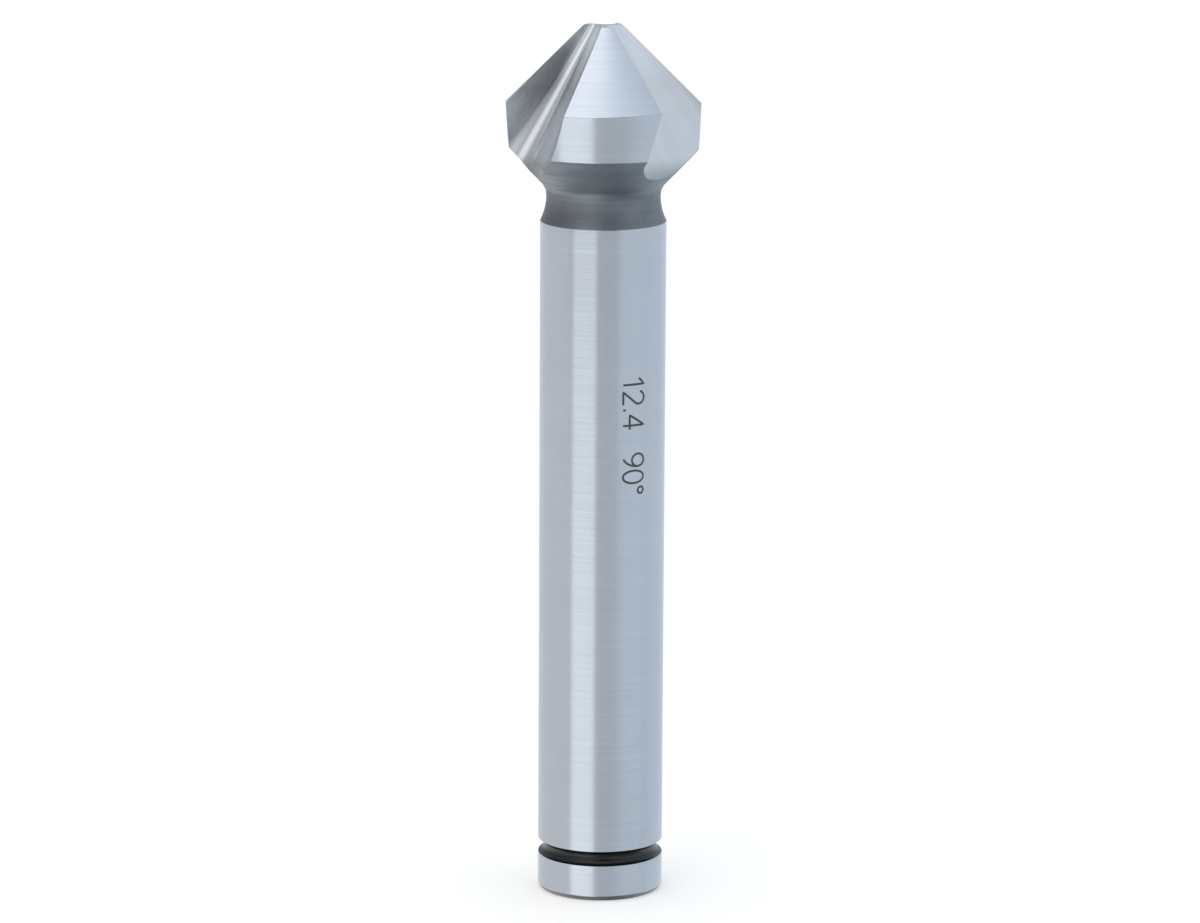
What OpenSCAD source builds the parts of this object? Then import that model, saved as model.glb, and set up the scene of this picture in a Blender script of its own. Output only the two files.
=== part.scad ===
// Three-flute countersink bit, ground from one piece of tool steel.
// It stands on the end of its shank: +Z runs along the axis to the tip, and the origin is
// the centre of the shank's end face. It cuts when it turns clockwise, seen from the shank.

/* [Overall] */
// Length from the shank's end face to the tip
total_len = 56; // [50:0.5:70]
// Turn of the whole bit about its axis, in degrees
pose_turn = -47.2; // [-180:0.5:180]

/* [Head] */
// Largest diameter, across the cutting edges at the base of the cone
head_d = 12.4; // [11.4:0.1:14]
// Included angle of the cutting cone, in degrees
cone_angle = 90; // [84:1:96]
// Diameter of the small flat at the tip
tip_d = 2.7; // [2:0.1:3.2]
// Length of the margin, the narrow band behind the cone
margin_len = 3; // [2:0.05:3.6]
// Back taper of the margin on each side, in degrees
margin_taper = 3.8; // [1:0.1:6]
// Slope of the back cone from the axis, in degrees
back_angle = 44; // [40:1:50]
// Sideways shift of each land's own cone, which lets its heel clear the work
relief_shift = 0.2; // [0.05:0.05:0.3]

/* [Flutes] */
// Number of flutes, cutting edges and lands
flute_count = 3; // [2:1:4]
// Angle between the tool's axis and the middle of the flute's rounded corner, in degrees
flute_slope = 31.7; // [31:0.1:33]
// Distance behind the tool's axis at which all lines of the flute would meet
flute_back = 0.99; // [0.9:0.01:1.1]
// Height above the tip at which all lines of the flute would meet
flute_rise = 2.98; // [2.8:0.02:3.2]
// Half angle of the rounded corner, which widens away from the tip, in degrees
corner_half_angle = 7; // [6:0.1:8]
// How far the rounded corner runs up to the cutting face, in degrees round the corner
face_turn = 106.7; // [102:0.1:112]
// Where the rounded corner passes into the back wall, in degrees round the corner
wall_turn = -9.8; // [-16:0.1:0]
// Half angle of the hollow back wall, in degrees
wall_half_angle = 38.4; // [34:0.1:44]

/* [Neck] */
// Diameter of the neck at its waist
neck_d = 7.24; // [6.6:0.02:7.6]
// Length of the straight waist
waist_len = 0.15; // [0.1:0.05:1]
// Radius between the waist and the back cone
neck_head_r = 0.9; // [0.4:0.1:1.4]
// Radius of the flare from the waist out to the shank
neck_shank_r = 3.5; // [2:0.1:5]

/* [Shank] */
// Diameter of the shank, which the chuck grips
shank_d = 8; // [7.8:0.05:9]
// Length of the chamfer at the shank's end
chamfer_len = 0.32; // [0.2:0.02:0.6]
// Depth of the chamfer, on the radius
chamfer_depth = 0.21; // [0.1:0.01:0.5]
// Height of the middle of the ring groove above the end face
groove_z = 2.79; // [1.8:0.01:6]
// Width of the ring groove at the shank's surface
groove_w = 0.95; // [0.6:0.05:1.4]
// Depth of the ring groove
groove_depth = 0.4; // [0.2:0.05:0.5]

/* [Hidden] */

// Angle from the axis to the side of the cutting cone
cone_half = cone_angle / 2;
// Radii
head_r = head_d / 2;
tip_r = tip_d / 2;
neck_r = neck_d / 2;
shank_r = shank_d / 2;
// Heights, from the tip down. The sides of the cutting cone meet at its apex.
apex_z = total_len + tip_r / tan(cone_half);
flute_z = total_len + flute_rise;
base_z = apex_z - head_r / tan(cone_half);
margin_z = base_z - margin_len;
margin_r = head_r - margin_len * tan(margin_taper);
// The fillet circle behind the head touches the waist and the back cone
fillet_r = neck_r + neck_head_r;
fillet_z = margin_z
    - ((margin_r - fillet_r) * cos(back_angle) + neck_head_r) / sin(back_angle);
touch_r = fillet_r - neck_head_r * cos(back_angle);
touch_z = fillet_z + neck_head_r * sin(back_angle);
flare_z = fillet_z - waist_len;
// The groove's floor is an arc through both rims
groove_r = (pow(groove_w / 2, 2) + pow(groove_depth, 2)) / (2 * groove_depth);
// Half of the corner's arc, and the tilt of the plane through both of its sides
corner_half_arc = (face_turn + wall_turn) / 2;
chord_tilt = atan(tan(corner_half_angle) * cos(corner_half_arc));
// Reach of the cutting shapes, well past the head
reach = 2 * head_d;
head_color = [0.72, 0.76, 0.80];

// Direction square to the cutting face, with the tool's axis upright and the flute towards +X
face_x = cos(corner_half_angle) * cos(face_turn);
face_y = -cos(corner_half_angle) * sin(face_turn);
face_z = -sin(corner_half_angle);
face_normal = [
    -face_x * cos(flute_slope) + face_z * sin(flute_slope),
    face_y,
    -face_x * sin(flute_slope) - face_z * cos(flute_slope)
];
// Azimuth of the cutting edge's outer end, where the cutting face meets the base of the cone
face_reach = (-face_normal[0] * flute_back + face_normal[2] * (flute_z - base_z)) / head_r;
face_azimuth = atan2(face_normal[1], face_normal[0])
    + acos(face_reach / norm([face_normal[0], face_normal[1]]));
// Azimuth inside the flute, where the reliefs of two lands meet
relief_azimuth = face_azimuth + 90 / flute_count;

// Outline of the bit on one side of its axis, before the neck's curves are cut
module straight_outline() {
    polygon([
        [0, 0],
        [shank_r - chamfer_depth, 0],
        [shank_r, chamfer_len],
        [shank_r, flare_z],
        [neck_r, flare_z],
        [neck_r, fillet_z],
        [touch_r, touch_z],
        [margin_r, margin_z],
        [head_r, base_z],
        [tip_r, total_len],
        [0, total_len]
    ]);
}

// Concave flare between the waist and the shank
module flare_cut() {
    translate([neck_r + neck_shank_r, flare_z])
        intersection() {
            circle(r = neck_shank_r, $fn = 96);
            translate([-neck_shank_r, -neck_shank_r])
                square([neck_shank_r, neck_shank_r]);
        }
}

// Concave round between the waist and the back cone
module fillet_cut() {
    translate([fillet_r, fillet_z])
        circle(r = neck_head_r, $fn = 64);
}

module groove_cut() {
    translate([shank_r - groove_depth + groove_r, groove_z])
        circle(r = groove_r, $fn = 64);
}

// The turned blank, before its flutes are ground
module blank() {
    rotate_extrude($fn = 180) {
        difference() {
            straight_outline();
            fillet_cut();
            flare_cut();
            groove_cut();
        }
    }
}

// Half space on the inner side of a plane through the flute's apex
module half_space(turn, tilt) {
    rotate([0, 0, turn])
        rotate([0, tilt, 0])
            translate([-reach, -reach / 2, -reach / 4])
                cube(reach);
}

// Round cone that widens away from the flute's apex
module flute_cone(half_angle, sides) {
    cylinder(h = reach, r1 = 0, r2 = reach * tan(half_angle), $fn = sides);
}

// One flute: a flat cutting face and a hollow back wall, both tangent to the rounded corner
module flute_cut() {
    translate([-flute_back, 0, flute_z])
        rotate([0, 180 - flute_slope, 0]) {
            flute_cone(corner_half_angle, 96);
            intersection() {
                half_space(-face_turn, corner_half_angle);
                half_space((wall_turn - face_turn) / 2, chord_tilt);
                rotate([0, 0, wall_turn])
                    rotate([0, corner_half_angle - wall_half_angle, 0])
                        flute_cone(wall_half_angle, 180);
            }
        }
}

// Sector of the head that holds one land, with both sides inside the flutes beside it
module land_sector() {
    land_step = 360 / flute_count;
    linear_extrude(height = reach, center = true)
        polygon([
            [0, 0],
            for (i = [0:4])
                let (a = relief_azimuth - i * land_step / 4)
                [reach * cos(a), reach * sin(a)]
        ]);
}

// Thin skin taken off one land's cone, from nothing at its cutting edge to most at its heel
module relief_cut() {
    translate([0, 0, apex_z])
        difference() {
            land_sector();
            translate([-relief_shift * sin(face_azimuth), relief_shift * cos(face_azimuth), -reach])
                cylinder(h = reach, r1 = reach * tan(cone_half), r2 = 0, $fn = 180);
        }
}

module countersink_bit() {
    color(head_color)
        rotate([0, 0, pose_turn])
            difference() {
                blank();
                for (i = [0:flute_count - 1])
                    rotate([0, 0, i * 360 / flute_count]) {
                        flute_cut();
                        relief_cut();
                    }
            }
}

countersink_bit();
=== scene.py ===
"""Three-flute countersink bit, dressed for its photograph.

Lengths are in millimetres and angles in degrees until a mesh is made.
The bit's axis is Z, its shank ends at zero, and the camera looks along +Y.
"""
import math

import bpy
from mathutils import Matrix, Vector


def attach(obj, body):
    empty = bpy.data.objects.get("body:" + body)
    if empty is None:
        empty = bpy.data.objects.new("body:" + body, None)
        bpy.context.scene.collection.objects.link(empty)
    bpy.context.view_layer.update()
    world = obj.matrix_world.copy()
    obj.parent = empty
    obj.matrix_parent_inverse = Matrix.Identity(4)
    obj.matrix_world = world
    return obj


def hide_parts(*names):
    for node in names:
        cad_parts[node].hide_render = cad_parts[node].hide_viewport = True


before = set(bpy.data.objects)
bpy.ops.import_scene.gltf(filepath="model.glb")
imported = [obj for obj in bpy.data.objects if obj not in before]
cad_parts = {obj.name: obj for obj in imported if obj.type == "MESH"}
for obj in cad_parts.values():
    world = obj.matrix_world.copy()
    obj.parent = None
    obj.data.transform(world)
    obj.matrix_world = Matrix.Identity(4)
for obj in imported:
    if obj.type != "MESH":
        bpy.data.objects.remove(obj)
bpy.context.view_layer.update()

MM = 0.001
BODY = "root"
NODE = "countersink_bit"

# Head
TOTAL_LEN = 56.0
HEAD_R = 6.2
TIP_R = 1.35
APEX_Z = TOTAL_LEN + TIP_R
BASE_Z = APEX_Z - HEAD_R
MARGIN_LEN = 3.0
MARGIN_Z = BASE_Z - MARGIN_LEN
MARGIN_TAPER = math.radians(3.8)
MARGIN_R = HEAD_R - MARGIN_LEN * math.tan(MARGIN_TAPER)
CONE_SLOPE = math.radians(45)
BACK_SLOPE = math.radians(44)
RELIEF_SHIFT = 0.2

# Flutes
POSE_TURN = -47.2
FLUTES = 3
STEP = 360 / FLUTES
FLUTE_SLOPE = math.radians(31.7)
FLUTE_START = Vector((-0.99, 0, TOTAL_LEN + 2.98))
CORNER_HALF = math.radians(7)
FACE_TURN = math.radians(106.7)
WALL_TURN = math.radians(9.8)
WALL_HALF = math.radians(38.4)

# Neck and shank
NECK_R = 3.62
FILLET_R = 0.9
WAIST_LEN = 0.15
FLARE_R = 3.5
SHANK_R = 4.0
BACK_REACH = (MARGIN_R - NECK_R - FILLET_R) * math.cos(BACK_SLOPE)
FILLET_Z = MARGIN_Z - (BACK_REACH + FILLET_R) / math.sin(BACK_SLOPE)
TOUCH_Z = FILLET_Z + FILLET_R * math.sin(BACK_SLOPE)
FLARE_Z = FILLET_Z - WAIST_LEN
SHANK_TOP_Z = FLARE_Z - math.sqrt(FLARE_R**2 - (NECK_R + FLARE_R - SHANK_R) ** 2)
GROOVE_Z = 2.79
GROOVE_HALF = 0.475
GROOVE_DEPTH = 0.4
GROOVE_R = (GROOVE_HALF**2 + GROOVE_DEPTH**2) / (2 * GROOVE_DEPTH)
CHAMFER_LEN = 0.32
CHAMFER_DEPTH = 0.21

# Every edge is rounded off by this much, but no flute loses more than this share of its width
EDGE = 0.022
EDGE_SHARE = 0.15
TIP_RIM = EDGE / 2

# Cells round the bit: over the cutting face, the flute's corner, its back wall and a land
FACE_CELLS = 7
CORNER_CELLS = 18
WALL_CELLS = 20
LAND_CELLS = 44

# Steps from ring to ring on each surface, from the tip down
CONE_STEPS = 30
MARGIN_STEPS = 10
BACK_STEPS = 26
WAIST_STEPS = 4
FLARE_STEPS = 14
SHANK_STEPS = 20
GROOVE_STEPS = 16
FOOT_STEPS = 6

# Radii of the rings on the end face, after its rim
END_RADII = (2.6, 1.3, 0.5)

# Decimals, in millimetres, to which the points of a ring agree where they are one
SAME_DIGITS = 4

# Surfaces, in the order of the material slots
GROUND, CONE, FLUTE, DARK, GROOVE, CHAMFER, END = range(7)


# Flute surfaces
# All lines of a flute start from one point, behind the axis and above the tip. They are numbered:
# below zero they lie on the flat cutting face, from zero to one on the rounded corner, and above
# one on the hollow back wall. Here the flute runs towards +X.
def flute_way(w, u, v):
    """A direction from its parts along the flute, outwards and sideways."""
    x = math.sin(FLUTE_SLOPE) * w + math.cos(FLUTE_SLOPE) * u
    z = -math.cos(FLUTE_SLOPE) * w + math.sin(FLUTE_SLOPE) * u
    return Vector((x, v, z))


def corner_side(turn):
    return flute_way(0, -math.cos(turn), -math.sin(turn))


CORNER_AXIS = flute_way(1, 0, 0)
WALL_LEAN = WALL_HALF - CORNER_HALF
WALL_AXIS = CORNER_AXIS * math.cos(WALL_LEAN) - corner_side(WALL_TURN) * math.sin(WALL_LEAN)


def flute_line(t):
    """Direction of one line, and the direction square to it on the surface."""
    turn = FACE_TURN - (FACE_TURN - WALL_TURN) * min(max(t, 0), 1)
    line = CORNER_AXIS * math.cos(CORNER_HALF) + corner_side(turn) * math.sin(CORNER_HALF)
    across = corner_side(turn - math.pi / 2)
    if t < 0:
        line = line + across * t
    if t > 1:
        line = Matrix.Rotation(t - 1, 3, WALL_AXIS) @ line
        across = WALL_AXIS.cross(line)
    return line, across


def flute_point(t, z):
    line, _ = flute_line(t)
    return FLUTE_START + line * ((FLUTE_START.z - z) / -line.z)


def flute_normal(t):
    """Direction out of the steel."""
    line, across = flute_line(t)
    return line.cross(across).normalized()


def flute_radius(t, z):
    return flute_point(t, z).to_2d().length


def azimuth(p):
    return math.atan2(p.y, p.x)


# How often each search below narrows its range, and how often a height is settled anew
HALVINGS = 40
TRIMS = 30
SETTLINGS = 3

# Lines beyond both sides of a flute
FACE_LIMIT = -0.6
WALL_LIMIT = 2.2


def halved(low, high, is_low):
    """Narrows down where a condition changes between two values."""
    for _ in range(HALVINGS):
        middle = (low + high) / 2
        if is_low(middle):
            low = middle
        else:
            high = middle
    return low


# Direction of the cutting edge's outer end
EDGE_LINE = halved(0, FACE_LIMIT, lambda t: flute_radius(t, BASE_Z) < HEAD_R)
EDGE_AZIMUTH = azimuth(flute_point(EDGE_LINE, BASE_Z))


# Rings
# A ring is one loop round the bit. Its land points lie on the turned or relieved surface, and its
# flute points on the flutes. A ring gives a land point's height, radius and normal by the point's
# azimuth and the azimuth of the land's cutting edge, both in radians.
class Ring:
    def __init__(self, surface, height, radius, normal):
        self.surface = surface
        self.height = height
        self.radius = radius
        self.normal = normal


def turned(surface, r, z, nr, nz):
    """Ring of a surface of revolution."""
    length = math.hypot(nr, nz)

    def normal(a, edge_a):
        return Vector((math.cos(a) * nr, math.sin(a) * nr, nz)) / length

    return Ring(surface, lambda a, edge_a: z, lambda a, edge_a: r, normal)


def relieved_radius(z, a, edge_a):
    """Radius of a land's own cone, whose axis is shifted away from its heel."""
    r = APEX_Z - z
    off = a - edge_a - math.pi / 2
    return RELIEF_SHIFT * math.cos(off) + math.sqrt(r * r - (RELIEF_SHIFT * math.sin(off)) ** 2)


def base_height(a, edge_a):
    """Height at which a land's own cone meets the margin."""
    z = BASE_Z
    for _ in range(SETTLINGS):
        gap = APEX_Z - z - relieved_radius(z, a, edge_a)
        z = BASE_Z - gap / (1 + math.tan(MARGIN_TAPER))
    return z


def margin_radius(z):
    return HEAD_R - (BASE_Z - z) * math.tan(MARGIN_TAPER)


def cone_ring(fraction, drop):
    """Ring on the relieved cones, a fraction of the way from the tip to their base."""

    def height(a, edge_a):
        low = base_height(a, edge_a)
        return TOTAL_LEN + (low - TOTAL_LEN) * fraction + drop

    def radius(a, edge_a):
        return relieved_radius(height(a, edge_a), a, edge_a)

    def normal(a, edge_a):
        shift = edge_a + math.pi / 2
        r = radius(a, edge_a)
        x = r * math.cos(a) - RELIEF_SHIFT * math.cos(shift)
        y = r * math.sin(a) - RELIEF_SHIFT * math.sin(shift)
        return Vector((x, y, math.hypot(x, y))).normalized()

    return Ring(CONE, height, radius, normal)


def margin_ring(fraction, drop):
    def height(a, edge_a):
        high = base_height(a, edge_a)
        return high + (MARGIN_Z - high) * fraction + drop

    def radius(a, edge_a):
        return margin_radius(height(a, edge_a))

    def normal(a, edge_a):
        return Vector((math.cos(a), math.sin(a), -math.tan(MARGIN_TAPER))).normalized()

    return Ring(GROUND, height, radius, normal)


def neck_profile(z):
    """Radius and normal of the back cone, its round and the waist."""
    if z > TOUCH_Z:
        r = MARGIN_R - (MARGIN_Z - z) * math.tan(BACK_SLOPE)
        return r, math.cos(BACK_SLOPE), -math.sin(BACK_SLOPE)
    if z > FILLET_Z:
        rise = z - FILLET_Z
        r = NECK_R + FILLET_R - math.sqrt(FILLET_R**2 - rise**2)
        return r, NECK_R + FILLET_R - r, -rise
    return NECK_R, 1, 0


def spread(start, end, cells):
    return [start + (end - start) * i / cells for i in range(cells + 1)]


def arc_rings(surface, centre_r, centre_z, radius, start, end, cells):
    """Rings on a hollow arc, between two angles seen from its centre."""
    rings = []
    for angle in spread(start, end, cells):
        c, s = math.cos(angle), math.sin(angle)
        rings.append(turned(surface, centre_r - radius * c, centre_z + radius * s, c, -s))
    return rings


# Lines among which the deepest one is searched
SEARCH_START = -0.4
SEARCH_END = 1.8
SEARCH_STEPS = 44


def deepest_line(z):
    """The flute line that comes nearest to the axis at one height."""
    best = min(spread(SEARCH_START, SEARCH_END, SEARCH_STEPS), key=lambda t: flute_radius(t, z))
    step = (SEARCH_END - SEARCH_START) / SEARCH_STEPS
    low = best - step
    high = best + step
    for _ in range(TRIMS):
        third = (high - low) / 3
        if flute_radius(low + third, z) < flute_radius(high - third, z):
            high -= third
        else:
            low += third
    return (low + high) / 2


def cuts_neck(z):
    return flute_radius(deepest_line(z), z) < neck_profile(z)[0]


# Lowest point of a flute, where it runs out of the back of the head
RUNOUT_LOWEST = FILLET_Z - 2
RUNOUT_Z = halved(RUNOUT_LOWEST, MARGIN_Z, lambda z: not cuts_neck(z))
RUNOUT_AZIMUTH = azimuth(flute_point(deepest_line(RUNOUT_Z), RUNOUT_Z))


def all_rings():
    rings = []
    half = EDGE * math.sin(CONE_SLOPE)
    for f in spread(0, 1, CONE_STEPS):
        drop = -half if f == 0 else half if f == 1 else 0
        rings.append(cone_ring(f, drop))
    for f in spread(0, 1, MARGIN_STEPS):
        drop = -EDGE if f == 0 else EDGE if f == 1 else 0
        rings.append(margin_ring(f, drop))
    top = MARGIN_Z - EDGE * math.cos(BACK_SLOPE)
    for f in spread(1, 0, BACK_STEPS)[:-1]:
        z = RUNOUT_Z + (top - RUNOUT_Z) * f * f
        rings.append(turned(DARK, neck_profile(z)[0], z, *neck_profile(z)[1:]))
    for z in spread(RUNOUT_Z, FLARE_Z, WAIST_STEPS):
        rings.append(turned(DARK, neck_profile(z)[0], z, *neck_profile(z)[1:]))
    flare_end = math.asin((SHANK_TOP_Z - FLARE_Z) / FLARE_R) + EDGE / FLARE_R
    rings += arc_rings(DARK, NECK_R + FLARE_R, FLARE_Z, FLARE_R, 0, flare_end, FLARE_STEPS)[1:]
    for z in spread(SHANK_TOP_Z - EDGE, GROOVE_Z + GROOVE_HALF + EDGE, SHANK_STEPS):
        rings.append(turned(GROUND, SHANK_R, z, 1, 0))
    rim = math.asin(GROOVE_HALF / GROOVE_R) - EDGE / GROOVE_R
    centre_r = SHANK_R - GROOVE_DEPTH + GROOVE_R
    rings += arc_rings(GROOVE, centre_r, GROOVE_Z, GROOVE_R, rim, -rim, GROOVE_STEPS)
    for z in spread(GROOVE_Z - GROOVE_HALF - EDGE, CHAMFER_LEN + EDGE, FOOT_STEPS):
        rings.append(turned(GROUND, SHANK_R, z, 1, 0))
    slope = CHAMFER_DEPTH / CHAMFER_LEN
    for z in (CHAMFER_LEN - EDGE, EDGE):
        rings.append(turned(CHAMFER, SHANK_R - (CHAMFER_LEN - z) * slope, z, 1, -slope))
    return rings


# Points of one ring
# A ring repeats for each flute, so one sector holds a flute, which runs towards +X, and the land
# that follows it.
SECTOR = 2 * math.pi / FLUTES
# The least difference of lines that still makes a flute
LEAST_SPAN = 1e-4


def ring_point(ring, t, edge_a):
    """Where one flute line passes a ring's height."""
    p = flute_point(t, BASE_Z)
    for _ in range(SETTLINGS):
        p = flute_point(t, ring.height(azimuth(p), edge_a))
    return p


def side_line(ring, edge_a, limit):
    """The flute line that meets the land on the side of the limit, or None below the flute's end."""

    def inside(t):
        p = ring_point(ring, t, edge_a)
        return p.to_2d().length < ring.radius(azimuth(p), edge_a)

    deepest = deepest_line(ring.height(RUNOUT_AZIMUTH, edge_a))
    return halved(deepest, limit, inside) if inside(deepest) else None


def inset_line(t, z, distance):
    """The flute line at a small distance from another one, measured at one height."""
    nudge = 0.001
    rate = (flute_point(t + nudge, z) - flute_point(t, z)).length / nudge
    return t + distance / rate


def flute_stops(start, end):
    """Line numbers over one flute, with whole cells on the cutting face, the corner and the wall."""
    face_end = min(max(start, 0), end)
    wall_start = max(min(end, 1), face_end)
    stops = spread(start, face_end, FACE_CELLS)
    stops += spread(face_end, wall_start, CORNER_CELLS)[1:]
    stops += spread(wall_start, end, WALL_CELLS)[1:]
    return stops


def land_spots(ring, start, end, edge_a):
    spots = []
    for a in spread(start, end, LAND_CELLS):
        r = ring.radius(a, edge_a)
        p = Vector((r * math.cos(a), r * math.sin(a), ring.height(a, edge_a)))
        spots.append((p, ring.normal(a, edge_a), None))
    return spots


def sector_spots(ring):
    """Points, normals and flute line numbers of one sector. Land points have no line number."""
    next_edge = EDGE_AZIMUTH + SECTOR
    start = side_line(ring, EDGE_AZIMUTH, FACE_LIMIT)
    end = side_line(ring, next_edge, WALL_LIMIT)
    if start is None or end - start < LEAST_SPAN:
        land = land_spots(ring, RUNOUT_AZIMUTH, RUNOUT_AZIMUTH + SECTOR, next_edge)
        return [land[0]] * (FACE_CELLS + CORNER_CELLS + WALL_CELLS + 1) + land
    first = ring_point(ring, start, EDGE_AZIMUTH)
    last = ring_point(ring, end, next_edge)
    inset = min(EDGE, EDGE_SHARE * (last - first).length)
    start = inset_line(start, first.z, inset)
    end = inset_line(end, last.z, -inset)
    spots = []
    for t in flute_stops(start, end):
        z = first.z + (last.z - first.z) * (t - start) / (end - start)
        spots.append((flute_point(t, z), flute_normal(t), t))
    land_start = azimuth(last) + inset / last.to_2d().length
    land_end = azimuth(first) + SECTOR - inset / first.to_2d().length
    return spots + land_spots(ring, land_start, land_end, next_edge)


# Painted light on the flute's steel, as a factor on its colour. The cutting face has painted shade
# beside the corner, and less of it towards its edge, its lower end and the top. The wall has painted
# highlights beside the corner and near the tip, and painted shade where the flute runs out of the back of
# the head.
FACE_TONE = 0.34
EDGE_TONE = 2.3
EDGE_FADE = 0.4
LOW_TONE = 0.5
TOP_TONE = 0.5
WALL_TONE = 1.08
CREASE_TONE = 0.5
TIP_TONE = 0.12
END_TONE = 0.42
BRIGHTEST_TONE = 1.25
# Heights at which they start or change
LOW_Z = 52.0
TIP_SPAN = (52, 54.5)
TOP_SPAN = (54, 55.6)
CREASE_SPAN = (49.5, 53)
END_SPAN = (46.6, 48)
# Lines over which the painted highlight on the crease beside the corner comes and goes
CREASE_COMES = (0.62, 0.8)
CREASE_GOES = (1.0, 1.25)
# Lines between which the face's painted shade passes into the wall's painted light, and how much further
# back they lie near the tip and at the top
FACE_END = 0.2
FACE_END_MOVES = (0.24, 0.2)
WALL_START = 0.57
WALL_START_MOVES = (0.12, 0.1)


def eased(value, low, high):
    """Grows from zero to one between two values, with rounded ends."""
    f = min(max((value - low) / (high - low), 0), 1)
    return f * f * (3 - 2 * f)


# Painted shade and painted highlights of a flute line at one height, as a factor on the steel's colour
def flute_painted_light(t, z):
    tip = eased(z, *TIP_SPAN)
    top = eased(z, *TOP_SPAN)
    edge = EDGE_TONE * (1 - EDGE_FADE * tip) * max(-t, 0)
    face = (FACE_TONE + edge) * (1 + LOW_TONE * max(LOW_Z - z, 0)) * (1 + TOP_TONE * top)
    crease_lines = eased(t, *CREASE_COMES) * (1 - eased(t, *CREASE_GOES))
    crease = CREASE_TONE * eased(z, *CREASE_SPAN) * crease_lines
    wall = WALL_TONE + crease + TIP_TONE * tip - END_TONE * (1 - eased(z, *END_SPAN))
    face_end = FACE_END - FACE_END_MOVES[0] * tip - FACE_END_MOVES[1] * top
    wall_start = WALL_START - WALL_START_MOVES[0] * tip - WALL_START_MOVES[1] * top
    return min(face + (wall - face) * eased(t, face_end, wall_start), BRIGHTEST_TONE)


# Grind coordinates: the first two run slowly along the grinding lines, the third quickly across.
# On a flute the lines fan out from the point where they meet, and each flute has its own stretch.
LINE_ALONG = 0.1
LINE_ACROSS = 9.0
FAN_RADIUS = 6.0
FLUTE_STRETCH = 40.0


def land_grind(p):
    return (p.x * LINE_ALONG, p.y * LINE_ALONG, p.z * LINE_ACROSS)


def flute_grind(t, p, index):
    corner_width = CORNER_HALF * (FACE_TURN - WALL_TURN)
    fan = min(t, 0) + corner_width * min(max(t, 0), 1) + math.sin(WALL_HALF) * max(t - 1, 0)
    return ((TOTAL_LEN - p.z) * LINE_ALONG, FLUTE_STRETCH * (index + 1), fan * FAN_RADIUS * LINE_ACROSS)


class Mesher:
    def __init__(self):
        self.points = []
        self.normals = []
        self.grinds = []
        self.painted_lights = []
        self.faces = []
        self.surfaces = []

    def add(self, point, normal, grind, painted_light=1.0):
        self.points.append(point)
        self.normals.append(normal)
        self.grinds.append(grind)
        self.painted_lights.append(painted_light)
        return len(self.points) - 1

    def face(self, corners, surface):
        kept = [c for i, c in enumerate(corners) if c != corners[i - 1]]
        if len(set(kept)) > 2:
            self.faces.append(kept)
            self.surfaces.append(surface)


def ring_loop(mesh, ring):
    """Adds one ring's points once each, and returns the numbers round it and which lie in a flute."""
    spots = sector_spots(ring)
    known = {}
    loop = []
    for k in range(FLUTES):
        turn = Matrix.Rotation(math.radians(POSE_TURN + k * STEP), 3, "Z")
        for point, normal, t in spots:
            p = turn @ point
            key = tuple(round(c, SAME_DIGITS) for c in p)
            if key not in known:
                if t is None:
                    known[key] = mesh.add(p, turn @ normal, land_grind(p))
                else:
                    known[key] = mesh.add(p, turn @ normal, flute_grind(t, p, k), flute_painted_light(t, p.z))
            loop.append(known[key])
    in_flute = [t is not None for _, _, t in spots] * FLUTES
    return loop, in_flute


def build_bit():
    mesh = Mesher()
    rings = all_rings()
    loops = [ring_loop(mesh, ring) for ring in rings]
    for j in range(len(rings) - 1):
        (upper, upper_in), (lower, lower_in) = loops[j], loops[j + 1]
        size = len(upper)
        surface = GROUND if rings[j].surface == GROUND else rings[j + 1].surface
        for i in range(size):
            n = (i + 1) % size
            flute_side = upper_in[i] and upper_in[n] and lower_in[i] and lower_in[n]
            mesh.face([upper[i], lower[i], lower[n], upper[n]], FLUTE if flute_side else surface)
    cap_tip(mesh, loops[0][0])
    cap_end(mesh, loops[-1][0])
    return mesh


def without_repeats(loop):
    return [c for i, c in enumerate(loop) if c != loop[i - 1]]


def cap_tip(mesh, loop):
    """The small flat at the tip, inside a rounded rim."""
    up = Vector((0, 0, 1))
    outer = without_repeats(loop)
    rim = []
    for c in outer:
        flat = Vector((mesh.normals[c].x, mesh.normals[c].y, 0)).normalized()
        p = mesh.points[c] - flat * TIP_RIM
        p.z = TOTAL_LEN
        rim.append(mesh.add(p, up, land_grind(p)))
    for i in range(len(outer)):
        n = (i + 1) % len(outer)
        mesh.face([outer[i], outer[n], rim[n], rim[i]], CONE)
    mesh.faces.append(rim)
    mesh.surfaces.append(CONE)


def cap_end(mesh, loop):
    """The end face, with its grinding lines round the centre."""
    down = Vector((0, 0, -1))
    outer = without_repeats(loop)
    rings = [outer]
    for r in (SHANK_R - CHAMFER_DEPTH - EDGE, *END_RADII):
        ring = []
        for c in outer:
            a = math.atan2(mesh.points[c].y, mesh.points[c].x)
            p = Vector((r * math.cos(a), r * math.sin(a), 0))
            ring.append(mesh.add(p, down, (p.x * LINE_ALONG, p.y * LINE_ALONG, r * LINE_ACROSS)))
        rings.append(ring)
    for k in range(len(rings) - 1):
        surface = CHAMFER if k == 0 else END
        for i in range(len(outer)):
            n = (i + 1) % len(outer)
            mesh.face([rings[k][i], rings[k + 1][i], rings[k + 1][n], rings[k][n]], surface)
    centre = mesh.add(Vector((0, 0, 0)), down, (0, 0, 0))
    for i in range(len(outer)):
        mesh.face([rings[-1][i], centre, rings[-1][(i + 1) % len(outer)]], END)


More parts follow.
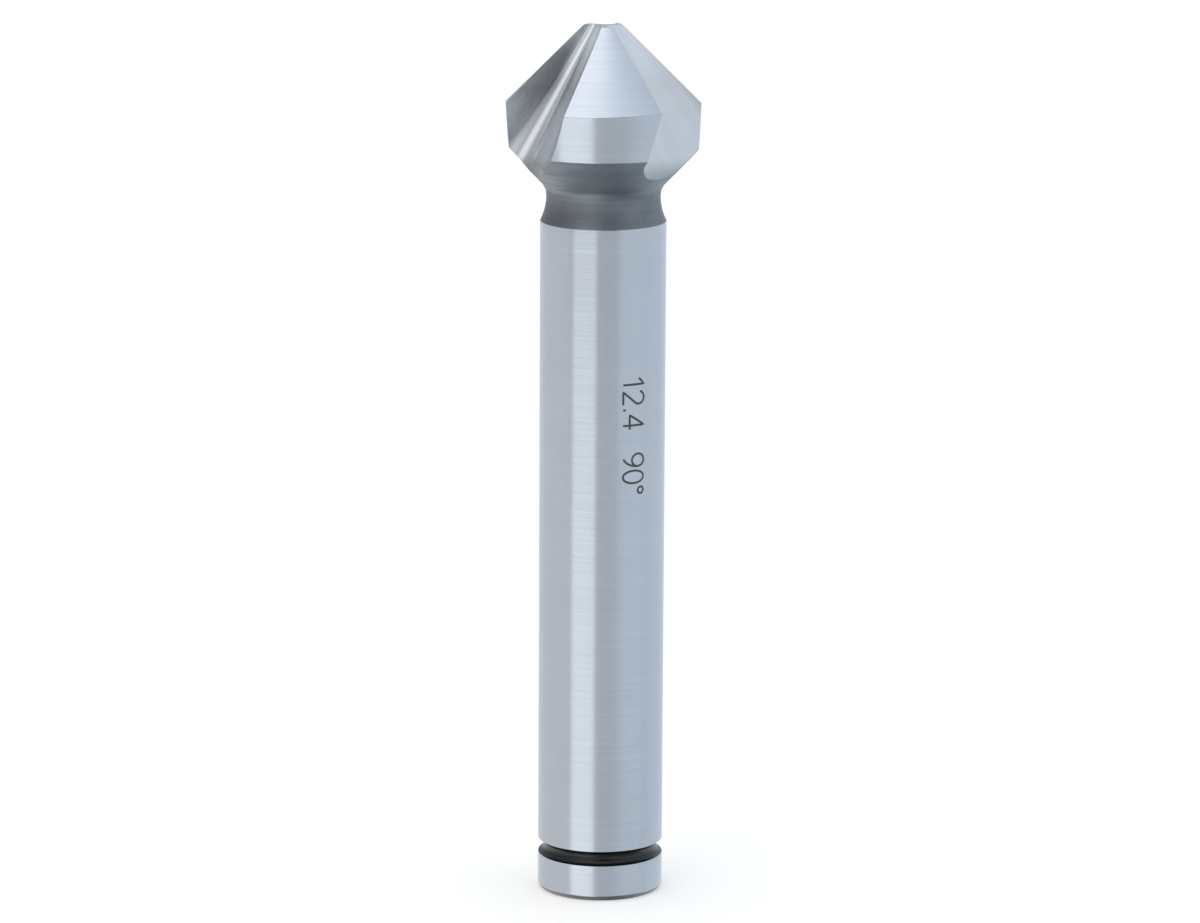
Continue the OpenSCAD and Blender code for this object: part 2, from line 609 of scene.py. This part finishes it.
def mesh_object(name, mesher, materials):
    """Makes the Blender object, in metres, with exact normals."""
    data = bpy.data.meshes.new(name)
    data.from_pydata([p * MM for p in mesher.points], [], mesher.faces)
    for material in materials:
        data.materials.append(material)
    data.polygons.foreach_set("material_index", mesher.surfaces)
    data.polygons.foreach_set("use_smooth", [True] * len(mesher.faces))
    grind = data.attributes.new("grind", "FLOAT_VECTOR", "POINT")
    grind.data.foreach_set("vector", [c for g in mesher.grinds for c in g])
    # Painted light: the flutes' painted shade and highlights, and one everywhere else
    painted_light = data.attributes.new("painted_light", "FLOAT", "POINT")
    painted_light.data.foreach_set("value", mesher.painted_lights)
    data.normals_split_custom_set_from_vertices([n.normalized() for n in mesher.normals])
    data.update()
    piece = bpy.data.objects.new(name, data)
    bpy.context.scene.collection.objects.link(piece)
    return piece


# Node trees
class Tree:
    """Small helper that adds nodes and joins them."""

    def __init__(self, node_tree):
        self.tree = node_tree
        self.tree.nodes.clear()

    def node(self, kind, inputs=None, **settings):
        n = self.tree.nodes.new(kind)
        for key, value in settings.items():
            setattr(n, key, value)
        for key, value in (inputs or {}).items():
            if isinstance(value, bpy.types.NodeSocket):
                self.tree.links.new(value, n.inputs[key])
            else:
                n.inputs[key].default_value = value
        return n

    def math(self, operation, a, b=0.0):
        return self.node("ShaderNodeMath", {0: a, 1: b}, operation=operation).outputs[0]

    def ramp(self, value, low, high, out_low=0.0, out_high=1.0):
        """The value carried from one range to another, with rounded ends."""
        inputs = {"Value": value, "From Min": low, "From Max": high, "To Min": out_low, "To Max": out_high}
        return self.node("ShaderNodeMapRange", inputs, interpolation_type="SMOOTHSTEP").outputs[0]

    def mix(self, share, first, second):
        """A shader that goes from the first to the second one."""
        return self.node("ShaderNodeMixShader", {0: share, 1: first, 2: second}).outputs[0]


# Sizes of the noises: the wide lines against the fine ones, and the clouds per metre
WIDE_SCALE = 0.28
CLOUD_SCALE = 420.0
# Ranges of the noises that are used, and how much the gloss changes over them
WIDE_RANGE = (0.35, 0.65)
NOISE_RANGE = (0.3, 0.7)
GLOSS_TINT = 0.12


def steel(name, colour, roughness, line_depth, line_tint, cloud_tint, metallic=1.0):
    """Steel with grinding lines: fine ones in its bump and gloss, wide ones in its colour."""
    material = bpy.data.materials.new(name)
    material.use_nodes = True
    t = Tree(material.node_tree)
    grind = t.node("ShaderNodeAttribute", attribute_name="grind").outputs["Vector"]
    place = t.node("ShaderNodeTexCoord").outputs["Object"]
    noise = {"Vector": grind, "Scale": 1.0, "Detail": 4.0, "Roughness": 0.65}
    fine = t.node("ShaderNodeTexNoise", noise).outputs["Fac"]
    wide = t.node("ShaderNodeTexNoise", {**noise, "Scale": WIDE_SCALE, "Detail": 2.0}).outputs["Fac"]
    clouds = {"Vector": place, "Scale": CLOUD_SCALE, "Detail": 3.0}
    cloud = t.node("ShaderNodeTexNoise", clouds).outputs["Fac"]
    lines = t.ramp(wide, *WIDE_RANGE, 1 - line_tint, 1 + line_tint)
    patches = t.ramp(cloud, *NOISE_RANGE, 1 - cloud_tint, 1 + cloud_tint)
    # Painted shade and painted highlights from the mesh, which darken and lighten the colour
    painted_light = t.node("ShaderNodeAttribute", attribute_name="painted_light").outputs["Fac"]
    shade = t.math("MULTIPLY", t.math("MULTIPLY", lines, patches), painted_light)
    tint = t.node("ShaderNodeVectorMath", {0: colour[:3], "Scale": shade}, operation="SCALE").outputs[0]
    glosses = (roughness * (1 - GLOSS_TINT), roughness * (1 + GLOSS_TINT))
    gloss = t.ramp(fine, *NOISE_RANGE, *glosses)
    bump = t.node("ShaderNodeBump", {"Height": fine, "Strength": 1.0, "Distance": line_depth * MM})
    inputs = {
        "Base Color": tint,
        "Metallic": metallic,
        "Roughness": gloss,
        "Normal": bump.outputs[0],
    }
    shader = t.node("ShaderNodeBsdfPrincipled", inputs)
    t.node("ShaderNodeOutputMaterial", {"Surface": shader.outputs[0]})
    return material


BRIGHT = (0.52, 0.555, 0.605, 1)
SOOTED = (0.235, 0.255, 0.282, 1)
# The groove's near black is partly its dark steel, like the neck's, and partly painted shade of the hollow
DARK_STEEL_AND_SHADE = (0.004, 0.0045, 0.005, 1)

# Each has its name, colour, roughness, depth of the lines, and the tints of the lines and the clouds
materials = [
    steel("ground_shank", BRIGHT, 0.2, 0.0003, 0.007, 0.012),
    steel("ground_cone", (0.54, 0.575, 0.63, 1), 0.26, 0.0009, 0.022, 0.015),
    steel("ground_flute", (0.735, 0.762, 0.79, 1), 0.22, 0.0003, 0.02, 0.02),
    steel("dark_neck", SOOTED, 0.52, 0.0009, 0.02, 0.09),
    steel("dark_groove", DARK_STEEL_AND_SHADE, 0.28, 0.001, 0.05, 0.08, metallic=0.0),
    steel("dull_chamfer", (0.17, 0.17, 0.172, 1), 0.42, 0.0012, 0.04, 0.05),
    steel("end_face", (0.42, 0.44, 0.47, 1), 0.35, 0.0015, 0.05, 0.05),
]

bit = mesh_object("dressed_bit", build_bit(), materials)
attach(bit, BODY)
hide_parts(NODE)

# Size numbers
# Fine etched strokes on the shank: the head's diameter and the cone's angle. They read downwards,
# with their tops to the right. A glyph is one unit high, and its strokes are lists of points.
SIZE_TEXT = "12.4 90°"
NUMBER_TOP_Z = 34.2
NUMBER_BEARING = math.radians(30)
CAP_HEIGHT = 1.5
STROKE = 0.14
STROKE_STEP = 0.12
ARC_CELLS = 24
PROUD = 0.004
SUNK = 0.02
# Corners of a stroke's section: the side, and the height above the shank's surface
STROKE_CORNERS = ((-1, -SUNK), (1, -SUNK), (1, PROUD), (-1, PROUD))
ETCHED = 0


def arc(centre, radii, start, end):
    angles = [math.radians(a) for a in spread(start, end, ARC_CELLS)]
    return [(centre[0] + radii[0] * math.cos(a), centre[1] + radii[1] * math.sin(a)) for a in angles]


GLYPHS = {
    "1": (0.62, [[(0.08, 0.74), (0.34, 1.0), (0.34, 0.0)]]),
    "2": (0.72, [arc((0.29, 0.73), (0.27, 0.27), 165, -35) + [(0.02, 0.0), (0.58, 0.0)]]),
    "4": (0.76, [[(0.45, 0.0), (0.45, 1.0), (0.0, 0.3), (0.62, 0.3)]]),
    "9": (0.72, [arc((0.29, 0.71), (0.27, 0.29), 0, 360) + arc((0.1, 0.71), (0.46, 0.71), 0, -75)]),
    "0": (0.72, [arc((0.29, 0.5), (0.27, 0.5), 90, 450)]),
    ".": (0.3, [[(0.08, 0.0), (0.08, 0.12)]]),
    "°": (0.5, [arc((0.16, 0.85), (0.14, 0.14), 90, 450)]),
    " ": (0.9, []),
}


def resampled(points):
    """The same line with a point at least every small step."""
    result = [points[0]]
    for a, b in zip(points, points[1:]):
        length = math.dist(a, b)
        cells = max(1, math.ceil(length / STROKE_STEP))
        for i in range(1, cells + 1):
            result.append((a[0] + (b[0] - a[0]) * i / cells, a[1] + (b[1] - a[1]) * i / cells))
    return result


def on_shank(x, y, r):
    """Point on the shank for a place along the writing and above its base line."""
    a = NUMBER_BEARING - math.pi / 2 + (y - CAP_HEIGHT / 2) / SHANK_R
    return Vector((r * math.cos(a), r * math.sin(a), NUMBER_TOP_Z - x))


def add_stroke(mesh, line):
    """One closed strip along a line, slightly proud of the shank."""
    line = resampled(line)
    sections = []
    for i, (x, y) in enumerate(line):
        before, after = line[max(i - 1, 0)], line[min(i + 1, len(line) - 1)]
        run = math.dist(before, after)
        side = ((before[1] - after[1]) / run, (after[0] - before[0]) / run)
        section = []
        for sign, height in STROKE_CORNERS:
            reach = sign * STROKE / 2
            p = on_shank(x + side[0] * reach, y + side[1] * reach, SHANK_R + height)
            section.append(mesh.add(p, Vector((p.x, p.y, 0)), land_grind(p)))
        sections.append(section)
    for first, second in zip(sections, sections[1:]):
        for i in range(len(first)):
            n = (i + 1) % len(first)
            mesh.face([first[i], first[n], second[n], second[i]], ETCHED)
    mesh.face(sections[0][::-1], ETCHED)
    mesh.face(sections[-1], ETCHED)


def build_numbers(text):
    mesh = Mesher()
    x = 0.0
    for character in text:
        advance, strokes = GLYPHS[character]
        for stroke in strokes:
            add_stroke(mesh, [(x + u * CAP_HEIGHT, v * CAP_HEIGHT) for u, v in stroke])
        x += advance * CAP_HEIGHT
    return mesh


etched = steel("etched_numbers", (0.13, 0.12, 0.11, 1), 0.5, 0.0005, 0.03, 0.1)
numbers = mesh_object("size_numbers", build_numbers(SIZE_TEXT), [etched])
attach(numbers, BODY)

# Floor
# It looks white to the camera and keeps the bit's shadow. Glossy rays pass through it, so the steel
# mirrors the studio all round.
FLOOR_HALF_SIZE = 3.0
FLOOR_COLOUR = (0.88, 0.858, 0.825, 1)
FLOOR_GLOW = 0.36
SQUARE = [(-1, -1), (1, -1), (1, 1), (-1, 1)]
floor_data = bpy.data.meshes.new("floor")
floor_corners = [(x * FLOOR_HALF_SIZE, y * FLOOR_HALF_SIZE, 0) for x, y in SQUARE]
floor_data.from_pydata(floor_corners, [], [(0, 1, 2, 3)])
floor = bpy.data.objects.new("floor", floor_data)
bpy.context.scene.collection.objects.link(floor)

floor_material = bpy.data.materials.new("floor_white")
floor_material.use_nodes = True
t = Tree(floor_material.node_tree)
rays = t.node("ShaderNodeLightPath")
paper = t.node("ShaderNodeBsdfDiffuse", {"Color": FLOOR_COLOUR}).outputs[0]
glow = t.node("ShaderNodeEmission", {"Color": (1, 1, 1, 1), "Strength": FLOOR_GLOW}).outputs[0]
lit = t.node("ShaderNodeAddShader", {0: paper, 1: glow}).outputs[0]
clear = t.node("ShaderNodeBsdfTransparent").outputs[0]
seen_floor = t.mix(rays.outputs["Is Camera Ray"], paper, lit)
t.node("ShaderNodeOutputMaterial", {"Surface": t.mix(rays.outputs["Is Glossy Ray"], seen_floor, clear)})
floor_data.materials.append(floor_material)

# Studio
# The world is a soft studio by direction. A bearing is zero towards the camera and grows to the
# picture's right, a rise is zero at the level, and both are in degrees.
WALL_LEVEL = 0.86
BEHIND_LEVEL = 1.3
BEHIND_PLACES = (0.0, 0.3)
BEHIND_RISES = (-76, -28)
BEHIND_SOFT = 10
CEILING_RISES = (48, 62)
CEILING_PLACES = (-0.35, 0.5)
CEILING_LEVELS = (1.5, 0.91)
# The shade round the camera is darker above these rises than below them
SHADE_RISES = (-8, -14)
SHADE_LEVELS = (0.66, 0.8)
# The light turns bluer from the left to the right
TINT_BEARINGS = (-40, 70)
REDS = (0.98, 0.92)
BLUES = (1.02, 1.09)

world = bpy.data.worlds.new("studio")
world.use_nodes = True
bpy.context.scene.world = world
t = Tree(world.node_tree)
way = t.node("ShaderNodeSeparateXYZ", {0: t.node("ShaderNodeTexCoord").outputs["Generated"]})
x, y, z = way.outputs
bearing = t.math("DEGREES", t.math("ARCTAN2", x, t.math("MULTIPLY", y, -1.0)))
rise = t.math("DEGREES", t.math("ARCSINE", z))


def window(value, start, end, soft):
    """One between two values, with soft sides."""
    inside = t.ramp(value, start - soft, start + soft)
    return t.math("MULTIPLY", inside, t.ramp(value, end - soft, end + soft, 1.0, 0.0))


def add_light(level, zone, target):
    """Carries the level towards the target inside a zone."""
    kept = t.math("MULTIPLY", level, t.math("SUBTRACT", 1.0, zone))
    return t.math("ADD", kept, t.math("MULTIPLY", zone, target))


# Zones: bearings, how soft their sides are, rises, how soft those are, and the level inside. Each
# lies over the zones before it.
shade = t.ramp(rise, *SHADE_RISES, *SHADE_LEVELS)
ZONES = [
    # Dim wall at the left, half-lit wall at the right, and pale ground at the right
    ((-185, -56), 9, (1, 50), 5, 0.44),
    ((10, 185), 14, (6, 50), 6, 0.67),
    ((38, 80), 10, (-95, -13), 2, 0.96),
    # Shade round the camera, darkest above it and at its left
    ((-13, 29), 4, (-95, 20), 8, shade),
    ((-8, 30), 6, (8, 48), 6, 0.18),
    ((-20, -8), 5, (-8, 6), 4, 0.55),
    # Two softboxes at the camera's left, with a dark gap between them
    ((-50, -19), 5, (3, 15), 4, 1.05),
    ((-56, -12), 2, (-95, -7), 2, 1.38),
    ((-62, -16), 4, (-7, 3), 2, 0.15),
    # Dark ground in front and at the right
    ((-12, 100), 18, (-95, -20), 6, 0.4),
]

behind = t.math("MULTIPLY", t.ramp(y, *BEHIND_PLACES), window(rise, *BEHIND_RISES, BEHIND_SOFT))
level = add_light(WALL_LEVEL, behind, BEHIND_LEVEL)
for bearings, bearing_soft, rises, rise_soft, target in ZONES:
    inside = t.math("MULTIPLY", window(bearing, *bearings, bearing_soft), window(rise, *rises, rise_soft))
    level = add_light(level, inside, target)
ceiling = t.ramp(rise, *CEILING_RISES)
level = add_light(level, ceiling, t.ramp(x, *CEILING_PLACES, *CEILING_LEVELS))

red = t.ramp(bearing, *TINT_BEARINGS, *REDS)
blue = t.ramp(bearing, *TINT_BEARINGS, *BLUES)
tint = t.node("ShaderNodeCombineXYZ", {0: red, 1: 1.0, 2: blue}).outputs[0]
cool = t.node("ShaderNodeVectorMath", {0: tint, "Scale": level}, operation="SCALE").outputs[0]
studio = t.node("ShaderNodeBackground", {"Color": cool}).outputs[0]
white = t.node("ShaderNodeBackground", {"Color": (1, 1, 1, 1)}).outputs[0]
seen = t.node("ShaderNodeLightPath").outputs["Is Camera Ray"]
t.node("ShaderNodeOutputWorld", {"Surface": t.mix(seen, studio, white)})

# Camera
CAMERA_PLACE = Vector((0, -361.74, 104.99))
PITCH = math.radians(12.018)
YAW = math.radians(-0.020)
ROLL = math.radians(0.310)
SENSOR_WIDTH = 36.0
FOCAL_LENGTH = 173.994
CLIP_START = 0.01
CLIP_END = 20.0
ahead = Vector((math.sin(YAW) * math.cos(PITCH), math.cos(YAW) * math.cos(PITCH), -math.sin(PITCH)))
level_right = Vector((math.cos(YAW), -math.sin(YAW), 0))
level_up = level_right.cross(ahead)
right = level_right * math.cos(ROLL) + level_up * math.sin(ROLL)
up = level_up * math.cos(ROLL) - level_right * math.sin(ROLL)
camera_data = bpy.data.cameras.new("camera")
camera_data.sensor_fit = "HORIZONTAL"
camera_data.sensor_width = SENSOR_WIDTH
camera_data.lens = FOCAL_LENGTH
camera_data.clip_start = CLIP_START
camera_data.clip_end = CLIP_END
camera = bpy.data.objects.new("camera", camera_data)
turn_matrix = Matrix((right, up, -ahead)).transposed().to_4x4()
camera.matrix_world = Matrix.Translation(CAMERA_PLACE * MM) @ turn_matrix
bpy.context.scene.collection.objects.link(camera)
bpy.context.scene.camera = camera

bpy.context.scene.view_settings.view_transform = "Standard"
